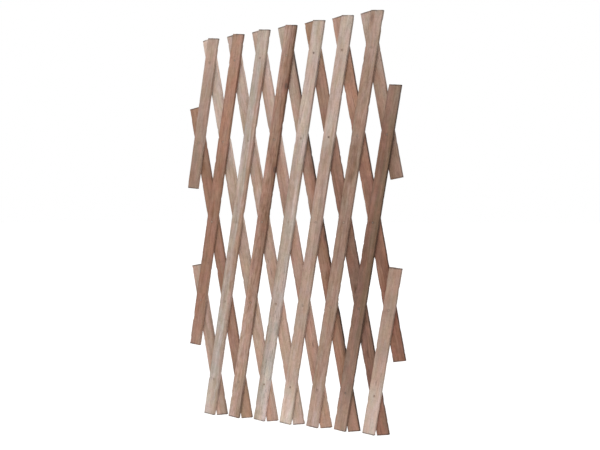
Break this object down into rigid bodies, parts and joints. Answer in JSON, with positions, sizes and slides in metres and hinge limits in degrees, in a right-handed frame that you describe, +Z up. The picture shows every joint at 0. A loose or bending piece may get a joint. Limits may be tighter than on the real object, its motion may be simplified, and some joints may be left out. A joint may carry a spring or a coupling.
{
  "type": "expanding garden trellis",
  "caption": "Expanding scissor trellis of riveted wooden slats in two layers, folding to a narrow bundle and opening to a diamond lattice.",
  "frame": {"origin": "on the wall plane behind the middle rivet, at the centre of the lattice", "axes": "+Z up along the panel's height, +Y into the wall it hangs on, so the front slats face -Y, +X to the right as seen from the front"},
  "size_m": [0.4418, 0.0116, 0.7145],
  "materials": {
    "front_slat_1_wood": "rough sawn, weathered, fawn, matt",
    "front_slat_2_wood": "rough sawn, weathered, terracotta, matt",
    "front_slat_3_wood": "rough sawn, weathered, ash grey, matt",
    "front_slat_4_wood": "rough sawn, weathered, brown, matt",
    "front_slat_5_wood": "rough sawn, weathered, pinkish grey, matt",
    "front_slat_6_wood": "rough sawn, weathered, pinkish beige, matt",
    "front_slat_7_wood": "rough sawn, weathered, taupe, matt",
    "front_slat_8_wood": "rough sawn, weathered, dark brown, matt",
    "front_slat_9_wood": "rough sawn, weathered, beige grey, matt",
    "back_slat_1_wood": "rough sawn, weathered, fawn, matt",
    "back_slat_2_wood": "rough sawn, weathered, clay, matt",
    "back_slat_3_wood": "rough sawn, weathered, pale pink, matt",
    "back_slat_4_wood": "rough sawn, weathered, tan, matt",
    "back_slat_5_wood": "rough sawn, weathered, rose, matt",
    "back_slat_6_wood": "rough sawn, weathered, pink brown, matt",
    "back_slat_7_wood": "rough sawn, weathered, red brown, matt",
    "back_slat_8_wood": "rough sawn, weathered, rust, matt",
    "back_slat_9_wood": "rough sawn, weathered, grey brown, matt",
    "rivet_steel": "dull, darkened"
  },
  "bodies": {
    "centre_rivet": {"rivet_row3_4": "rivet_steel"},
    "front_slat_1": {"front_slat_1": "front_slat_1_wood"},
    "front_slat_2": {"front_slat_2": "front_slat_2_wood"},
    "front_slat_3": {"front_slat_3": "front_slat_3_wood"},
    "front_slat_4": {"front_slat_4": "front_slat_4_wood"},
    "front_slat_5": {"front_slat_5": "front_slat_5_wood"},
    "front_slat_6": {"front_slat_6": "front_slat_6_wood"},
    "front_slat_7": {"front_slat_7": "front_slat_7_wood"},
    "front_slat_8": {"front_slat_8": "front_slat_8_wood"},
    "front_slat_9": {"front_slat_9": "front_slat_9_wood"},
    "back_slat_1": {"back_slat_1": "back_slat_1_wood", "rivet_row4_1": "rivet_steel", "rivet_row5_1": "rivet_steel"},
    "back_slat_2": {"back_slat_2": "back_slat_2_wood", "rivet_row2_1": "rivet_steel", "rivet_row3_1": "rivet_steel", "rivet_row4_2": "rivet_steel", "rivet_row5_2": "rivet_steel"},
    "back_slat_3": {"back_slat_3": "back_slat_3_wood", "rivet_row1_1": "rivet_steel", "rivet_row2_2": "rivet_steel", "rivet_row3_2": "rivet_steel", "rivet_row4_3": "rivet_steel", "rivet_row5_3": "rivet_steel"},
    "back_slat_4": {"back_slat_4": "back_slat_4_wood", "rivet_row1_2": "rivet_steel", "rivet_row2_3": "rivet_steel", "rivet_row3_3": "rivet_steel", "rivet_row4_4": "rivet_steel", "rivet_row5_4": "rivet_steel"},
    "back_slat_5": {"back_slat_5": "back_slat_5_wood", "rivet_row1_3": "rivet_steel", "rivet_row2_4": "rivet_steel", "rivet_row4_5": "rivet_steel", "rivet_row5_5": "rivet_steel"},
    "back_slat_6": {"back_slat_6": "back_slat_6_wood", "rivet_row1_4": "rivet_steel", "rivet_row2_5": "rivet_steel", "rivet_row3_5": "rivet_steel", "rivet_row4_6": "rivet_steel", "rivet_row5_6": "rivet_steel"},
    "back_slat_7": {"back_slat_7": "back_slat_7_wood", "rivet_row1_5": "rivet_steel", "rivet_row2_6": "rivet_steel", "rivet_row3_6": "rivet_steel", "rivet_row4_7": "rivet_steel", "rivet_row5_7": "rivet_steel"},
    "back_slat_8": {"back_slat_8": "back_slat_8_wood", "rivet_row1_6": "rivet_steel", "rivet_row2_7": "rivet_steel", "rivet_row3_7": "rivet_steel", "rivet_row4_8": "rivet_steel"},
    "back_slat_9": {"back_slat_9": "back_slat_9_wood", "rivet_row1_7": "rivet_steel", "rivet_row2_8": "rivet_steel"}
  },
  "joints": [
    {"name": "lattice_fold", "type": "hinge", "parent": "centre_rivet", "child": "front_slat_5", "pos_m": [0, -0.00565, 0], "axis": [0, 1, 0], "range_deg": [-6.4, 34.25]},
    {"name": "back_slat_5_pivot", "type": "hinge", "parent": "centre_rivet", "child": "back_slat_5", "pos_m": [0, -0.00565, 0], "axis": [0, 1, 0], "range_deg": [-34.25, 6.4]},
    {"name": "front_slat_3_pivot", "type": "hinge", "parent": "back_slat_5", "child": "front_slat_3", "pos_m": [-0.0554, -0.00565, 0.29179], "axis": [0, 1, 0], "range_deg": [-12.8, 68.5]},
    {"name": "front_slat_4_pivot", "type": "hinge", "parent": "back_slat_5", "child": "front_slat_4", "pos_m": [-0.0277, -0.00565, 0.14589], "axis": [0, 1, 0], "range_deg": [-12.8, 68.5]},
    {"name": "front_slat_6_pivot", "type": "hinge", "parent": "back_slat_5", "child": "front_slat_6", "pos_m": [0.0277, -0.00565, -0.14589], "axis": [0, 1, 0], "range_deg": [-12.8, 68.5]},
    {"name": "front_slat_7_pivot", "type": "hinge", "parent": "back_slat_5", "child": "front_slat_7", "pos_m": [0.0554, -0.00565, -0.29179], "axis": [0, 1, 0], "range_deg": [-12.8, 68.5]},
    {"name": "back_slat_3_pivot", "type": "hinge", "parent": "front_slat_5", "child": "back_slat_3", "pos_m": [-0.0554, -0.00565, -0.29179], "axis": [0, 1, 0], "range_deg": [-68.5, 12.8]},
    {"name": "back_slat_4_pivot", "type": "hinge", "parent": "front_slat_5", "child": "back_slat_4", "pos_m": [-0.0277, -0.00565, -0.14589], "axis": [0, 1, 0], "range_deg": [-68.5, 12.8]},
    {"name": "back_slat_6_pivot", "type": "hinge", "parent": "front_slat_5", "child": "back_slat_6", "pos_m": [0.0277, -0.00565, 0.14589], "axis": [0, 1, 0], "range_deg": [-68.5, 12.8]},
    {"name": "back_slat_7_pivot", "type": "hinge", "parent": "front_slat_5", "child": "back_slat_7", "pos_m": [0.0554, -0.00565, 0.29179], "axis": [0, 1, 0], "range_deg": [-68.5, 12.8]},
    {"name": "back_slat_1_pivot", "type": "hinge", "parent": "front_slat_3", "child": "back_slat_1", "pos_m": [-0.16619, -0.00565, -0.29179], "axis": [0, 1, 0], "range_deg": [-68.5, 12.8]},
    {"name": "back_slat_2_pivot", "type": "hinge", "parent": "front_slat_4", "child": "back_slat_2", "pos_m": [-0.1108, -0.00565, -0.29179], "axis": [0, 1, 0], "range_deg": [-68.5, 12.8]},
    {"name": "back_slat_8_pivot", "type": "hinge", "parent": "front_slat_6", "child": "back_slat_8", "pos_m": [0.1108, -0.00565, 0.29179], "axis": [0, 1, 0], "range_deg": [-68.5, 12.8]},
    {"name": "back_slat_9_pivot", "type": "hinge", "parent": "front_slat_7", "child": "back_slat_9", "pos_m": [0.16619, -0.00565, 0.29179], "axis": [0, 1, 0], "range_deg": [-68.5, 12.8]},
    {"name": "front_slat_1_pivot", "type": "hinge", "parent": "back_slat_3", "child": "front_slat_1", "pos_m": [-0.16619, -0.00565, 0.29179], "axis": [0, 1, 0], "range_deg": [-12.8, 68.5]},
    {"name": "front_slat_2_pivot", "type": "hinge", "parent": "back_slat_4", "child": "front_slat_2", "pos_m": [-0.1108, -0.00565, 0.29179], "axis": [0, 1, 0], "range_deg": [-12.8, 68.5]},
    {"name": "front_slat_8_pivot", "type": "hinge", "parent": "back_slat_6", "child": "front_slat_8", "pos_m": [0.1108, -0.00565, -0.29179], "axis": [0, 1, 0], "range_deg": [-12.8, 68.5]},
    {"name": "front_slat_9_pivot", "type": "hinge", "parent": "back_slat_7", "child": "front_slat_9", "pos_m": [0.16619, -0.00565, -0.29179], "axis": [0, 1, 0], "range_deg": [-12.8, 68.5]}
  ],
  "couplings": [
    {"joint": "back_slat_5_pivot", "follows": "lattice_fold", "ratio": -1},
    {"joint": "front_slat_3_pivot", "follows": "lattice_fold", "ratio": 2},
    {"joint": "front_slat_4_pivot", "follows": "lattice_fold", "ratio": 2},
    {"joint": "front_slat_6_pivot", "follows": "lattice_fold", "ratio": 2},
    {"joint": "front_slat_7_pivot", "follows": "lattice_fold", "ratio": 2},
    {"joint": "back_slat_3_pivot", "follows": "lattice_fold", "ratio": -2},
    {"joint": "back_slat_4_pivot", "follows": "lattice_fold", "ratio": -2},
    {"joint": "back_slat_6_pivot", "follows": "lattice_fold", "ratio": -2},
    {"joint": "back_slat_7_pivot", "follows": "lattice_fold", "ratio": -2},
    {"joint": "back_slat_1_pivot", "follows": "lattice_fold", "ratio": -2},
    {"joint": "back_slat_2_pivot", "follows": "lattice_fold", "ratio": -2},
    {"joint": "back_slat_8_pivot", "follows": "lattice_fold", "ratio": -2},
    {"joint": "back_slat_9_pivot", "follows": "lattice_fold", "ratio": -2},
    {"joint": "front_slat_1_pivot", "follows": "lattice_fold", "ratio": 2},
    {"joint": "front_slat_2_pivot", "follows": "lattice_fold", "ratio": 2},
    {"joint": "front_slat_8_pivot", "follows": "lattice_fold", "ratio": 2},
    {"joint": "front_slat_9_pivot", "follows": "lattice_fold", "ratio": 2}
  ]
}
